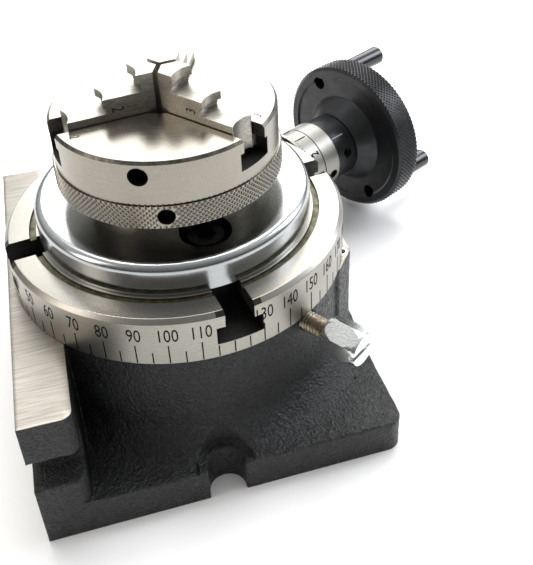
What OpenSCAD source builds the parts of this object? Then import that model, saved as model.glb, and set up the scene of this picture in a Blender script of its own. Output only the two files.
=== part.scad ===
// Small horizontal and vertical rotary table with a three-jaw self-centring chuck.
// Millimetres. Z up. The origin is on the table's axis, on the underside of the base.

/* [Base casting] */
// Width of the base across X
base_w = 104.8; // [100:0.1:112]
// Depth of the base across Y
base_d = 118.6; // [114:0.1:126]
// Height of the machined seat above the underside
seat_z = 46; // [45:0.5:47]
// Thickness of the foot flange
foot_t = 11.7; // [9:0.1:14]
// Thickness of the wall behind the vertical mounting face
wall_t = 13.9; // [12:0.1:15]
// Width of the slots for holding-down bolts
slot_w = 10.5; // [8:0.1:12]
// X position of the slots in the foot
foot_slot_x = -1.5; // [-4:0.1:4]
// Height of the slots in the wall
wall_slot_z = 27.2; // [24:0.1:30]

/* [Rotary table] */
// Radius of the graduated rim
table_r = 50.4; // [50:0.1:51]
// Thickness of the table disc
table_t = 15.2; // [14.5:0.1:16]
// Width of the neck of a T-slot
tslot_neck = 8.2; // [7:0.1:9]
// Width of the wide part of a T-slot
tslot_wide = 13.2; // [12:0.1:14]
// Azimuth of the first T-slot
tslot_azimuth = 8.4; // [0:0.1:45]

/* [Worm drive] */
// Azimuth of the worm shaft, outwards
worm_azimuth = 28; // [24:1:32]
// Height of the worm shaft above the underside
worm_z = 33; // [32.5:0.1:33.2]
// Distance between the worm shaft and the table's axis
centre_distance = 21; // [20.95:0.05:21.1]
// Number of teeth on the worm wheel
wheel_teeth = 36; // [36:1:36]
// Radius of the handwheel
handwheel_r = 29.5; // [28:0.5:30]
// Radius of the graduated collar
collar_r = 13; // [12:0.1:13.2]

/* [Chuck] */
// Radius of the chuck body
chuck_r = 31.8; // [31.2:0.1:32.8]
// Radius of the adapter plate under the chuck
plate_r = 40.5; // [38:0.1:41]
// Thickness of the adapter plate
plate_t = 9.5; // [9:0.1:10]
// Azimuth of the first jaw
jaw_azimuth = 68.5; // [60:0.5:80]
// Width of a jaw above its guide
jaw_w = 8.1; // [7:0.1:8.4]
// Pitch of the scroll
scroll_pitch = 4; // [4:1:4]

/* [Hidden] */

$fn = 96;
eps = 0.5;                 // how far a cutting shape runs past the face it opens
run = 0.05;                // radial clearance of a running fit
slide_fit = 0.1;           // clearance at each side of a sliding guide
neck_gap = 0.45;           // gap between a jaw and the mouth of its way

// heights of the stack on the table's axis
table_z = seat_z + run;
table_top = seat_z + table_t;
plate_top = table_top + plate_t;
cover_top = plate_top + 6.3;
ring_top = cover_top + 7.1;
chuck_top = plate_top + 26.5;

// spindle and its bearings
hub_r = 22;
journal_r = 12;
register_r = 15;
table_screw_r = 19;
hub_bottom = 39.5;
bush_wall = 3;
lower_face = 13;
chamber_bottom = 27;
chamber_top = 39.2;
chamber_r = 19.5;
taper_top_r = 8.9;
taper_bottom_r = 7.6;
spindle_top = table_top - 5;

// worm gearing: the worm's axial pitch matches the wheel's circular pitch
gear_module = 0.917;
wheel_pitch_r = wheel_teeth * gear_module / 2;
worm_pitch_r = centre_distance - wheel_pitch_r;
axial_pitch = PI * gear_module;
tooth_out = 0.78;
tooth_in = 1.05;
tooth_half = 0.52;
flank_slope = tan(20);
lead_angle = atan(axial_pitch / (2 * PI * worm_pitch_r));
wheel_face = 8;
worm_half = 9;

// stations along the worm shaft, measured from the foot of the common normal
sleeve_in = 24;
housing_end = 66;
collar_in = 67.6;
groove_at = 75;
collar_out = 82.5;
ring_in = 82.8;
ring_out = 93;
hub_in = 93.05;
rim_in = 99;
rim_out = 110;
shaft_end = 118;
handle_end = 135;
shaft_r = 5;
bore_r = 6;
sleeve_r = 11;
index_ring_r = 12.5;
handle_pcd_r = 24;
handle_angle = 55;
collar_screw_at = 79.4;
collar_screw_turn = 280;
ring_screw_at = 88.3;
ring_screw_turn = 255;

// clamp screw, square to the spindle hub
clamp_azimuth = -55;
clamp_z = 42.3;
clamp_hole_r = 3;

// chuck details
bore_chuck_r = 6.9;
hub_chuck_r = 13.9;
cavity_r = 27.4;
cavity_top = ring_top + 5.4;
slot_bottom = ring_top + 3.9;
guide_top = ring_top + 9.2;
guide_w = 11.6;
rib_t = 1.6;
tooth_t = 1.45;
scroll_turn_steps = 60;
jaw_tip = 0.8;
jaw_out = 27.6;
riser_curve_r = 8;
step_1 = chuck_top + 11.5;
step_2 = chuck_top + 6.5;
step_3 = chuck_top + 2.3;
bolt_r = 27.4;
bolt_hole_r = 3.2;
bolt_seat_r = 7.2;
bolt_seat_depth = 6;
nut_half = 5;

iron = "#2d3031";
ground = "#c8c6c0";
bright = "#d9d9d6";
black = "#1f2022";
bronze = "#b0884a";
zinc = "#cfd2d0";

module at(azimuth, radius, height) {
    rotate([0, 0, azimuth]) translate([radius, 0, height]) children();
}

// children are drawn along +Z and laid along the worm shaft, starting at a station
module along_worm(station) {
    rotate([0, 0, worm_azimuth]) translate([station, centre_distance, worm_z]) rotate([0, 90, 0]) children();
}

module tube(outer, inner, length) {
    difference() {
        cylinder(r = outer, h = length);
        translate([0, 0, -eps]) cylinder(r = inner, h = length + 2 * eps);
    }
}

// a disc whose top outer edge has a chamfer
module chamfered(radius, height, cut) {
    cylinder(r = radius, h = height - cut);
    translate([0, 0, height - cut]) cylinder(r1 = radius, r2 = radius - cut, h = cut);
}

// ---- base ----

module foot_outline(corner) {
    half_w = base_w / 2;
    half_d = base_d / 2;
    difference() {
        translate([-half_w, -half_d]) square([base_w, base_d]);
        for (side = [-1, 1]) translate([half_w, side * half_d]) difference() {
            square(2 * corner, center = true);
            translate([-corner, -side * corner]) circle(r = corner);
        }
    }
}

module flared_body() {
    body_r = table_r - 0.8;
    flare = 11;
    steps = 8;
    arc = [for (i = [0:steps]) [body_r + flare - flare * cos(90 * i / steps),
        foot_t + flare - flare * sin(90 * i / steps)]];
    intersection() {
        rotate_extrude() polygon(concat([[0, 0], [0, seat_z], [body_r, seat_z]], arc, [[body_r + flare, 0]]));
        linear_extrude(seat_z) foot_outline(4.5);
    }
}

module vertical_wall() {
    corner = 3;
    half_d = base_d / 2;
    inner_x = wall_t - base_w / 2;
    linear_extrude(seat_z) difference() {
        translate([-base_w / 2, -half_d]) square([wall_t, base_d]);
        for (side = [-1, 1]) translate([inner_x, side * half_d]) difference() {
            square(2 * corner, center = true);
            translate([-corner, -side * corner]) circle(r = corner);
        }
    }
}

module drive_block() {
    flat_x = base_w / 2 - 2.7;
    linear_extrude(seat_z)
        polygon([[0, -26.6], [flat_x - 6.5, -26.6], [flat_x, -18.2], [flat_x, 36], [30, 50], [0, 40]]);
    intersection() {
        along_worm(20) cylinder(r = 15.5, h = housing_end - 20);
        translate([-100, -100, 0]) cube([200, 200, seat_z]);
    }
    rotate([0, 0, worm_azimuth]) translate([20, centre_distance - 12, 0]) cube([housing_end - 24, 24, worm_z]);
}

module foot_slots() {
    centre_y = base_d / 2 - 1.5;
    for (side = [-1, 1]) {
        translate([foot_slot_x, side * centre_y, -eps]) cylinder(d = slot_w, h = foot_t + 2 * eps);
        translate([foot_slot_x - slot_w / 2, side > 0 ? centre_y : -centre_y - 10, -eps])
            cube([slot_w, 10, foot_t + 2 * eps]);
        translate([foot_slot_x, side * centre_y, foot_t]) cylinder(r = 7.7, h = seat_z);
    }
}

module wall_slots() {
    centre_y = base_d / 2 - 7;
    for (side = [-1, 1]) {
        translate([-base_w / 2 - eps, side * centre_y, wall_slot_z]) rotate([0, 90, 0])
            cylinder(d = slot_w, h = wall_t + 2 * eps);
        translate([-base_w / 2 - eps, side > 0 ? centre_y : -centre_y - 10, wall_slot_z - slot_w / 2])
            cube([wall_t + 2 * eps, 10, slot_w]);
    }
}

module base_casting() color(iron) difference() {
    union() {
        linear_extrude(foot_t) foot_outline(4.5);
        flared_body();
        vertical_wall();
        drive_block();
    }
    foot_slots();
    wall_slots();
    translate([0, 0, chamber_top]) cylinder(r = hub_r + bush_wall, h = 20);
    translate([0, 0, chamber_bottom]) cylinder(r = chamber_r, h = 20);
    translate([0, 0, -eps]) cylinder(r = journal_r + bush_wall, h = seat_z);
    translate([0, 0, -eps]) cylinder(r = 19, h = lower_face + eps);
    along_worm(-20) cylinder(r = bore_r, h = 60);
    along_worm(sleeve_in) cylinder(r = sleeve_r, h = 50);
    for (i = [0:2]) along_worm(housing_end - 8) rotate([0, 0, 120 * i + 60]) translate([12.6, 0, 0])
        cylinder(r = 1.25, h = 10);
    at(clamp_azimuth, hub_r, clamp_z) rotate([0, 90, 0]) cylinder(r = clamp_hole_r, h = 40);
    translate([46.7, -18.3, seat_z - 6]) cylinder(r = 2, h = 10);
    translate([46.7, -18.3, 20]) cylinder(r = 0.8, h = 40);
}

module upper_bush() color(bronze) difference() {
    translate([0, 0, chamber_top]) tube(hub_r + bush_wall, hub_r + run, seat_z - chamber_top);
    at(clamp_azimuth, hub_r - 2, clamp_z) rotate([0, 90, 0]) cylinder(r = clamp_hole_r, h = 10);
}

module lower_bush() color(bronze)
    translate([0, 0, lower_face]) tube(journal_r + bush_wall, journal_r + run, chamber_bottom - lower_face);

module worm_end_bush() color(bronze)
    along_worm(-19.5) tube(bore_r, 4 + run, 8);

module worm_sleeve() color(ground) difference() {
    union() {
        along_worm(sleeve_in) cylinder(r = sleeve_r, h = housing_end - sleeve_in);
        along_worm(housing_end) cylinder(r = 14.8, h = 1.3);
    }
    along_worm(sleeve_in - eps) cylinder(r = shaft_r + run, h = 50);
    for (i = [0:2]) along_worm(housing_end - 1) rotate([0, 0, 120 * i + 60]) translate([12.6, 0, 0])
        cylinder(r = 1.25, h = 4);
}

module sleeve_screws() color(black)
    for (i = [0:2]) along_worm(housing_end - 8) rotate([0, 0, 120 * i + 60]) translate([12.6, 0, 0])
        cylinder(r = 1.25, h = 9.2);

module oil_cup() color(ground) translate([46.7, -18.3, seat_z - 6]) difference() {
    cylinder(r = 2, h = 5.9);
    translate([0, 0, 2]) cylinder(r = 1.3, h = 10);
    translate([0, 0, -eps]) cylinder(r = 0.7, h = 10);
}

module oil_ball() color(bright) translate([46.7, -18.3, seat_z - 2.4]) sphere(r = 1.2);

// ---- table ----

module t_slot(azimuth) {
    rotate([0, 0, azimuth]) {
        translate([22, -tslot_neck / 2, table_top - 5.1]) cube([40, tslot_neck, 10]);
        translate([22, -tslot_wide / 2, table_top - 10.6]) cube([40, tslot_wide, 5.5]);
    }
}

module rotary_table() color(bright) difference() {
    translate([0, 0, table_z]) chamfered(table_r, table_top - table_z, 1.2);
    translate([0, 0, table_top - 1]) tube(43.2, 41.4, 5);
    translate([0, 0, table_z - eps]) cylinder(r = register_r, h = 30);
    for (i = [0:3]) {
        t_slot(tslot_azimuth + 90 * i);
        at(tslot_azimuth + 45 + 90 * i, table_screw_r, table_z - eps) cylinder(r = 2, h = 30);
        at(tslot_azimuth + 45 + 90 * i, table_screw_r, table_top - 6.2) cylinder(r = 3.6, h = 10);
    }
}

module spindle() color(ground) difference() {
    union() {
        translate([0, 0, 4]) cylinder(r = journal_r, h = spindle_top - 4);
        translate([0, 0, hub_bottom]) cylinder(r = hub_r, h = table_z - hub_bottom);
        translate([0, 0, table_z - 1]) cylinder(r = register_r, h = spindle_top - table_z + 1);
    }
    translate([0, 0, 4 - eps])
        cylinder(r1 = taper_bottom_r, r2 = taper_top_r, h = spindle_top - 4 + 2 * eps);
    for (i = [0:3]) at(tslot_azimuth + 45 + 90 * i, table_screw_r, 41) cylinder(r = 2, h = 10);
}

module table_screws() color(black) for (i = [0:3]) at(tslot_azimuth + 45 + 90 * i, table_screw_r, 41) difference() {
    union() {
        cylinder(r = 2, h = 15);
        translate([0, 0, table_top - 6.2 - 41]) cylinder(r = 3.5, h = 4);
    }
    translate([0, 0, table_top - 4.2 - 41]) cylinder(r = 1.73, h = 4, $fn = 6);
}

module wheel_tooth() {
    reach = tooth_out + tooth_in;
    rise = wheel_pitch_r - tooth_in - 0.6;
    translate([rise, 0, 0]) rotate([lead_angle, 0, 0]) translate([0, 0, -wheel_face / 2])
        linear_extrude(wheel_face) polygon([
            [0, -tooth_half - (tooth_in + 0.6) * flank_slope],
            [reach + 0.6, -tooth_half + tooth_out * flank_slope],
            [reach + 0.6, tooth_half - tooth_out * flank_slope],
            [0, tooth_half + (tooth_in + 0.6) * flank_slope]]);
}

module worm_wheel() color(bronze) translate([0, 0, worm_z]) difference() {
    union() {
        translate([0, 0, -wheel_face / 2]) cylinder(r = wheel_pitch_r - tooth_in, h = wheel_face);
        for (i = [0:wheel_teeth - 1]) rotate([0, 0, worm_azimuth + 90 + (i + 0.5) * 360 / wheel_teeth])
            wheel_tooth();
    }
    translate([0, 0, -wheel_face]) cylinder(r = journal_r, h = 2 * wheel_face);
}

module thrust_washer() color(bronze) translate([0, 0, 11.2]) tube(17, journal_r, 1.75);

module spindle_nut() color(black) translate([0, 0, 4.4]) difference() {
    tube(16, journal_r, 6.8);
    for (i = [0:1]) at(180 * i, 14, -eps) cylinder(r = 1, h = 4);
    translate([journal_r - 1, 0, 3.4]) rotate([0, 90, 0]) cylinder(r = 1.5, h = 8);
}

module nut_grub_screw() color(black) translate([journal_r, 0, 7.8]) rotate([0, 90, 0]) difference() {
    cylinder(r = 1.5, h = 3.6);
    translate([0, 0, 2]) cylinder(r = 0.85, h = 4, $fn = 6);
}

// ---- adapter plate and its fixings ----

// the plate is held in two opposite T-slots
function bolt_azimuth(i) = tslot_azimuth + 90 + 180 * i;

module adapter_plate() color(bright) difference() {
    union() {
        translate([0, 0, table_top]) rotate_extrude() plate_profile();
        translate([0, 0, table_top - 4]) cylinder(r = register_r, h = 5);
    }
    translate([0, 0, table_top - 5]) cylinder(r = 9, h = 30);
    for (i = [0:1]) at(bolt_azimuth(i), bolt_r, 0) {
        translate([0, 0, table_top - eps]) cylinder(r = bolt_hole_r, h = 20);
        translate([0, 0, plate_top - bolt_seat_depth]) cylinder(r = bolt_seat_r, h = 20);
    }
    for (i = [0:2]) at(jaw_azimuth + 60 + 120 * i, 20, table_top - eps) {
        cylinder(r = 2, h = 20);
        cylinder(r = 3.6, h = 5 + eps);
    }
}

// half section of the plate, with a large rounded top edge
module plate_profile() {
    round_r = 2.5;
    steps = 6;
    corner = [for (i = [0:steps]) [plate_r - round_r + round_r * cos(90 * i / steps),
        plate_t - round_r + round_r * sin(90 * i / steps)]];
    polygon(concat([[0, 0], [plate_r, 0]], corner, [[0, plate_t]]));
}

module t_nuts() color(zinc) for (i = [0:1]) at(bolt_azimuth(i), bolt_r, table_top - 10.6) difference() {
    union() {
        translate([-nut_half, -tslot_wide / 2 + 0.2, 0.1]) cube([2 * nut_half, tslot_wide - 0.4, 5.4]);
        translate([-nut_half, -tslot_neck / 2 + 0.1, 5]) cube([2 * nut_half, tslot_neck - 0.2, 3.6]);
    }
    translate([0, 0, -eps]) cylinder(r = 3, h = 20);
}

module plate_screws() color(black) for (i = [0:1]) at(bolt_azimuth(i), bolt_r, 0) difference() {
    union() {
        translate([0, 0, table_top - 9]) cylinder(r = 3, h = plate_t + 4);
        translate([0, 0, plate_top - bolt_seat_depth]) cylinder(r = 5, h = 5);
    }
    translate([0, 0, plate_top - 3.6]) cylinder(r = 2.89, h = 5, $fn = 6);
}

// ---- chuck ----

module jaw_slot(azimuth) rotate([0, 0, azimuth]) {
    translate([0, -jaw_w / 2 - neck_gap, slot_bottom]) cube([50, jaw_w + 2 * neck_gap, 20]);
    translate([0, -guide_w / 2, slot_bottom]) cube([50, guide_w, guide_top - slot_bottom]);
}

module chuck_body() color(ground) difference() {
    union() {
        translate([0, 0, ring_top + 0.15]) chamfered(chuck_r, chuck_top - ring_top - 0.15, 0.8);
        translate([0, 0, cover_top]) cylinder(r = hub_chuck_r, h = 12);
    }
    translate([0, 0, ring_top]) tube(cavity_r, hub_chuck_r, cavity_top - ring_top);
    translate([0, 0, cover_top - eps]) cylinder(r = bore_chuck_r, h = 40);
    for (i = [0:2]) {
        jaw_slot(jaw_azimuth + 120 * i);
        at(jaw_azimuth + 60 + 120 * i, 11, cover_top - eps) cylinder(r = 1.5, h = 8.5);
        at(jaw_azimuth + 59 + 120 * i, 26, chuck_top - 4.3) rotate([0, 90, 0]) cylinder(r = 2.7, h = 20);
    }
}

module chuck_back_cover() color(ground) difference() {
    translate([0, 0, plate_top]) cylinder(r = 25, h = cover_top - plate_top);
    translate([0, 0, plate_top - eps]) cylinder(r = bore_chuck_r, h = 20);
    for (i = [0:2]) {
        at(jaw_azimuth + 60 + 120 * i, 11, plate_top - eps) {
            cylinder(r = 1.5, h = 20);
            cylinder(r = 2.8, h = 3 + eps);
        }
        at(jaw_azimuth + 60 + 120 * i, 20, plate_top - eps) cylinder(r = 2, h = 5.5);
    }
}

module cover_screws() color(black) for (i = [0:2]) at(jaw_azimuth + 60 + 120 * i, 11, plate_top + 0.2)
    difference() {
        union() {
            cylinder(r = 2.75, h = 2.8);
            cylinder(r = 1.5, h = 13.5);
        }
        translate([0, 0, -eps]) cylinder(r = 1.4, h = 2, $fn = 6);
    }

module chuck_screws() color(black) for (i = [0:2]) at(jaw_azimuth + 60 + 120 * i, 20, table_top + 0.6)
    difference() {
        union() {
            cylinder(r = 3.5, h = 4.4);
            cylinder(r = 2, h = 13.5);
        }
        translate([0, 0, -eps]) cylinder(r = 1.73, h = 2.5, $fn = 6);
    }

// radius of the middle of the scroll's rib at an azimuth, on its innermost turn
function scroll_r(azimuth) = 19 - scroll_pitch * azimuth / 360;

module scroll_rib() {
    first = -504;
    last = 540;
    step = 360 / scroll_turn_steps;
    count = (last - first) / step;
    inside = [for (i = [0:count]) let (a = first + i * step, r = scroll_r(a) + 2 - rib_t / 2)
        [r * cos(a), r * sin(a)]];
    outside = [for (i = [count:-1:0]) let (a = first + i * step, r = scroll_r(a) + 2 + rib_t / 2)
        [r * cos(a), r * sin(a)]];
    polygon(concat(inside, outside));
}

module scroll_ring() color(ground) difference() {
    union() {
        translate([0, 0, cover_top + 0.15]) cylinder(r = chuck_r + 0.5, h = ring_top - cover_top - 0.15);
        translate([0, 0, ring_top - 1]) cylinder(r = cavity_r - slide_fit, h = 4.6);
        translate([0, 0, ring_top + 3]) intersection() {
            linear_extrude(2.1) scroll_rib();
            cylinder(r = cavity_r - 0.4, h = 5);
        }
    }
    translate([0, 0, cover_top - eps]) cylinder(r = hub_chuck_r + slide_fit, h = 30);
    for (i = [0:2]) at(jaw_azimuth + 70 + 120 * i, 28, cover_top + 3.8) rotate([0, 90, 0])
        cylinder(r = 2.4, h = 20);
}

// the plan of a jaw: a 120 degree point widening to the full width
module jaw_plan(width, tip) {
    half = width / 2;
    shoulder = tip + half / tan(60);
    polygon([[tip, 0], [shoulder, -half], [jaw_out, -half], [jaw_out, half], [shoulder, half]]);
}

// material above a step, bounded towards the axis by a concave riser that is undercut at its foot
module step_cut(riser, level, undercut) translate([riser + riser_curve_r, 0, level]) {
    cylinder(r = riser_curve_r, h = 30);
    cylinder(r1 = riser_curve_r + 1.3, r2 = riser_curve_r + 1, h = undercut);
    translate([0, -10, 0]) cube([30, 20, 30]);
}

module jaw(azimuth) color(ground) rotate([0, 0, azimuth]) {
    first = scroll_r(azimuth > 180 ? azimuth - 360 : azimuth);
    inner = first - scroll_pitch * floor((first - 7) / scroll_pitch);
    difference() {
        union() {
            translate([0, 0, cavity_top]) linear_extrude(step_1 - cavity_top) jaw_plan(jaw_w, jaw_tip);
            translate([0, 0, cavity_top]) linear_extrude(guide_top - slide_fit - cavity_top)
                jaw_plan(guide_w - 2 * slide_fit, jaw_tip + 0.2);
            for (r = [inner:scroll_pitch:jaw_out - 1]) translate([r - tooth_t / 2, -2.2, slot_bottom + 0.1])
                cube([tooth_t, 4.4, cavity_top - slot_bottom]);
        }
        step_cut(6.9, step_2, 2.2);
        step_cut(16.6, step_3, 1.8);
        translate([jaw_out - 1 + riser_curve_r, 0, slot_bottom]) cylinder(r = riser_curve_r, h = 40);
    }
}

module jaw_1() jaw(jaw_azimuth);
module jaw_2() jaw(jaw_azimuth + 120);
module jaw_3() jaw(jaw_azimuth + 240);

// ---- worm shaft ----

module worm_shaft() color(ground) {
    along_worm(-19) cylinder(r = 4, h = 9.8);
    along_worm(-9.5) cylinder(r = 3, h = 19);
    along_worm(9.2) cylinder(r = shaft_r, h = shaft_end - 9.2 - 8);
    along_worm(shaft_end - 9) cylinder(r = 3, h = 9);
}

// profile of the worm's thread: radius at an axial distance from the middle of the thread
function thread_r(x) = max(worm_pitch_r - tooth_in,
    min(worm_pitch_r + tooth_out, worm_pitch_r + (tooth_half - abs(x)) / flank_slope));

module worm() color(ground) along_worm(0) {
    rows = 66;
    sides = 24;
    inner = 3;
    row_step = 2 * (worm_half - 0.3) / rows;
    points = [for (row = [0:rows], side = [0:sides - 1])
        let (z = -worm_half + 0.3 + row * row_step, a = 360 * side / sides,
            turn = z / axial_pitch - (a - 270) / 360, x = (turn - round(turn)) * axial_pitch,
            r = thread_r(x))
        [r * cos(a), r * sin(a), z]];
    hole = [for (end = [-1, 1], side = [0:sides - 1]) let (a = 360 * side / sides)
        [(inner + 0.02) * cos(a), (inner + 0.02) * sin(a), end * (worm_half - 0.3)]];
    base = len(points);
    skin = [for (row = [0:rows - 1], side = [0:sides - 1], half = [0, 1])
        let (p = row * sides + side, q = row * sides + (side + 1) % sides)
        half == 0 ? [p, p + sides, q] : [q, p + sides, q + sides]];
    bore = [for (side = [0:sides - 1], half = [0, 1])
        let (p = base + side, q = base + (side + 1) % sides)
        half == 0 ? [p, q, p + sides] : [q, q + sides, p + sides]];
    bottom = [for (side = [0:sides - 1], half = [0, 1])
        let (p = side, q = (side + 1) % sides, u = base + side, v = base + (side + 1) % sides)
        half == 0 ? [p, q, u] : [q, v, u]];
    top = [for (side = [0:sides - 1], half = [0, 1])
        let (p = rows * sides + side, q = rows * sides + (side + 1) % sides, u = base + sides + side,
            v = base + sides + (side + 1) % sides)
        half == 0 ? [p, u, q] : [q, u, v]];
    polyhedron(points = concat(points, hole), faces = concat(skin, bore, bottom, top));
}

module thrust_collar() color(ground) along_worm(9.3) tube(5.7, shaft_r, 6);

module graduated_collar() color(bright) difference() {
    along_worm(collar_in) cylinder(r = collar_r, h = collar_out - collar_in);
    along_worm(collar_in - eps) cylinder(r = shaft_r + run, h = 30);
    along_worm(groove_at) tube(collar_r + 1, collar_r - 0.4, 0.5);
    along_worm(collar_screw_at) rotate([0, 0, collar_screw_turn]) rotate([0, 90, 0])
        cylinder(r = 2, h = 20);
}

module collar_grub_screw() color(black)
    along_worm(collar_screw_at) rotate([0, 0, collar_screw_turn]) rotate([0, 90, 0])
        translate([0, 0, shaft_r + 0.4]) difference() {
            cylinder(r = 2, h = 5);
            translate([0, 0, 3]) cylinder(r = 1.15, h = 4, $fn = 6);
        }

module index_ring() color(black) difference() {
    along_worm(ring_in) chamfered(index_ring_r, ring_out - ring_in, 0.5);
    along_worm(ring_in - eps) cylinder(r = shaft_r, h = 30);
    along_worm(ring_screw_at) rotate([0, 0, ring_screw_turn]) rotate([0, 90, 0]) cylinder(r = 2, h = 20);
}

module ring_grub_screw() color(black) along_worm(ring_screw_at) rotate([0, 0, ring_screw_turn]) rotate([0, 90, 0])
    translate([0, 0, shaft_r]) difference() {
        cylinder(r = 2, h = 6.2);
        translate([0, 0, 4]) cylinder(r = 1.15, h = 4, $fn = 6);
    }

// half section of the handwheel: a coned hub, a flat near face and a rim, recessed on the far side
module handwheel_profile() {
    rim_width = rim_out - rim_in;
    lead = rim_in - hub_in;
    polygon([[shaft_r, 0], [12.6, 0], [13.2, 0.6], [17.6, lead + 0.3], [18.4, lead + 0.6],
        [handwheel_r - 4.4, lead + 0.6], [handwheel_r - 3.8, lead], [handwheel_r - 1, lead],
        [handwheel_r, lead + 1],
        [handwheel_r, lead + rim_width - 1], [handwheel_r - 1, lead + rim_width],
        [handwheel_r - 9.5, lead + rim_width], [handwheel_r - 10.5, lead + rim_width - 1.5], [11, lead + 9.5],
        [10, lead + rim_width], [shaft_r, lead + rim_width]]);
}

module handwheel() color(black) difference() {
    along_worm(hub_in) rotate_extrude() handwheel_profile();
    for (i = [0:1]) along_worm(hub_in) rotate([0, 0, handle_turn(i)]) translate([handle_pcd_r, 0, 0])
        cylinder(r = 2.5, h = 30);
    along_worm(rim_in) translate([-1.5, shaft_r - 1, 0]) cube([3, 3, 20]);
}

// the handles stand opposite each other; angles run from straight down towards the back
function handle_turn(i) = 180 - (90 - handle_angle) + 180 * i;

module wheel_key() color(ground) along_worm(rim_in + 0.5) translate([-1.5, shaft_r, 0]) cube([3, 1.9, 10]);

module wheel_washer() color(zinc) along_worm(rim_out) tube(7, 3, 1.2);

module wheel_nut() color(zinc) along_worm(rim_out + 1.2) difference() {
    cylinder(r = 5.77, h = 5, $fn = 6);
    translate([0, 0, -eps]) cylinder(r = 3, h = 20);
}

module crank_handle(i) color(black) along_worm(0) rotate([0, 0, handle_turn(i)])
    translate([handle_pcd_r, 0, 0]) {
        translate([0, 0, rim_in + 4.5]) cylinder(r = 2.5, h = 8);
        translate([0, 0, rim_out]) cylinder(r1 = 3.3, r2 = 3.8, h = handle_end - rim_out - 0.6);
        translate([0, 0, handle_end - 0.6]) cylinder(r1 = 3.8, r2 = 3.2, h = 0.6);
    }

module crank_handle_1() crank_handle(0);
module crank_handle_2() crank_handle(1);

// ---- table clamp ----

module clamp_screw() color(zinc) at(clamp_azimuth, 0, clamp_z) rotate([0, 90, 0]) difference() {
    union() {
        translate([0, 0, 31]) cylinder(r = clamp_hole_r - run, h = 27);
        translate([0, 0, 57.5]) intersection() {
            cylinder(r = 5.77, h = 11.5, $fn = 6);
            translate([0, 0, -6]) cylinder(r1 = 9, r2 = 4.9, h = 17.5);
            cylinder(r1 = 4.9, r2 = 9, h = 17.5);
        }
    }
    translate([-0.7, -10, 67.4]) cube([1.4, 20, 5]);
}

module lock_pad() color(bronze) at(clamp_azimuth, hub_r + 0.4, clamp_z) rotate([0, 90, 0])
    cylinder(r = clamp_hole_r - run, h = 31 - hub_r - 0.4);

base_casting();
upper_bush();
lower_bush();
worm_end_bush();
worm_sleeve();
sleeve_screws();
oil_cup();
oil_ball();
rotary_table();
spindle();
table_screws();
worm_wheel();
thrust_washer();
spindle_nut();
nut_grub_screw();
adapter_plate();
t_nuts();
plate_screws();
chuck_body();
chuck_back_cover();
cover_screws();
chuck_screws();
scroll_ring();
jaw_1();
jaw_2();
jaw_3();
worm_shaft();
worm();
thrust_collar();
graduated_collar();
collar_grub_screw();
index_ring();
ring_grub_screw();
handwheel();
wheel_key();
wheel_washer();
wheel_nut();
crank_handle_1();
crank_handle_2();
clamp_screw();
lock_pad();
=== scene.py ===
import math

import bmesh
import bpy
from mathutils import Matrix, Vector, noise


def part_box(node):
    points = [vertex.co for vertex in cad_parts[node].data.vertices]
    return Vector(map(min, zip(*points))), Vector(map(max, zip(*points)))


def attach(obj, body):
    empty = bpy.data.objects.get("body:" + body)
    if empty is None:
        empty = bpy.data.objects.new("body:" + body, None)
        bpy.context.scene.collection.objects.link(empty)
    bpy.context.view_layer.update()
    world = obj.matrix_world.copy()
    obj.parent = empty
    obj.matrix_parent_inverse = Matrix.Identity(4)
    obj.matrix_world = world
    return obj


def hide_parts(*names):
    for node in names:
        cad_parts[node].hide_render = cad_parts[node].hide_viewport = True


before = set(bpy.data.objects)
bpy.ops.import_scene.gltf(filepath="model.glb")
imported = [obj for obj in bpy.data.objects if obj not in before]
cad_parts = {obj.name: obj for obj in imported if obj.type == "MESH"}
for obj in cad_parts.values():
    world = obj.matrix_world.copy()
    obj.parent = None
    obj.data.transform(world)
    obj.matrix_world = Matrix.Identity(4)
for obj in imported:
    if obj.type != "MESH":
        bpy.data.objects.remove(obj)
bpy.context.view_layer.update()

scene = bpy.context.scene
mm = 0.001
mergeDistance = 2e-6
flatAngle, sharpAngle = 0.7, 28  # degrees: joined into one face below the first, broken as an edge above the second
skin = 0.05  # mm, how far inside a face a point has to be to count as below it


def srgb(hexColour):
    # hex colour as seen on screen, to the linear values that shaders use
    parts = [int(hexColour[i:i + 2], 16) / 255 for i in (1, 3, 5)]
    return [p / 12.92 if p <= 0.04045 else ((p + 0.055) / 1.055) ** 2.4 for p in parts] + [1.0]


def addNode(tree, kind, settings=None, inputs=None):
    # an input given as a socket is linked, any other value is set on the node's own socket
    node = tree.nodes.new(kind)
    for name, value in (settings or {}).items():
        setattr(node, name, value)
    for key, value in (inputs or {}).items():
        if isinstance(value, bpy.types.NodeSocket):
            tree.links.new(value, node.inputs[key])
        else:
            node.inputs[key].default_value = value
    return node


def newMaterial(name):
    material = bpy.data.materials.new(name)
    material.use_nodes = True
    tree = material.node_tree
    tree.nodes.clear()
    return material, tree


def finishMaterial(tree, shaderInputs):
    shader = addNode(tree, "ShaderNodeBsdfPrincipled", None, shaderInputs)
    addNode(tree, "ShaderNodeOutputMaterial", None, {"Surface": shader.outputs[0]})


def bentRamp(tree, factor, stops):
    # colour ramp from (position, hex colour) pairs
    ramp = addNode(tree, "ShaderNodeValToRGB", None, {0: factor})
    elements = ramp.color_ramp.elements
    while len(elements) < len(stops):
        elements.new(0.5)
    for element, (position, colour) in zip(elements, stops):
        element.position = position
        element.color = srgb(colour)
    return ramp.outputs[0]


# frame of the worm shaft: local +Z runs outwards along the shaft, local +X points down
wormLine = {"azimuth": 28.0, "offset": 21.0, "height": 33.0}


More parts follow.
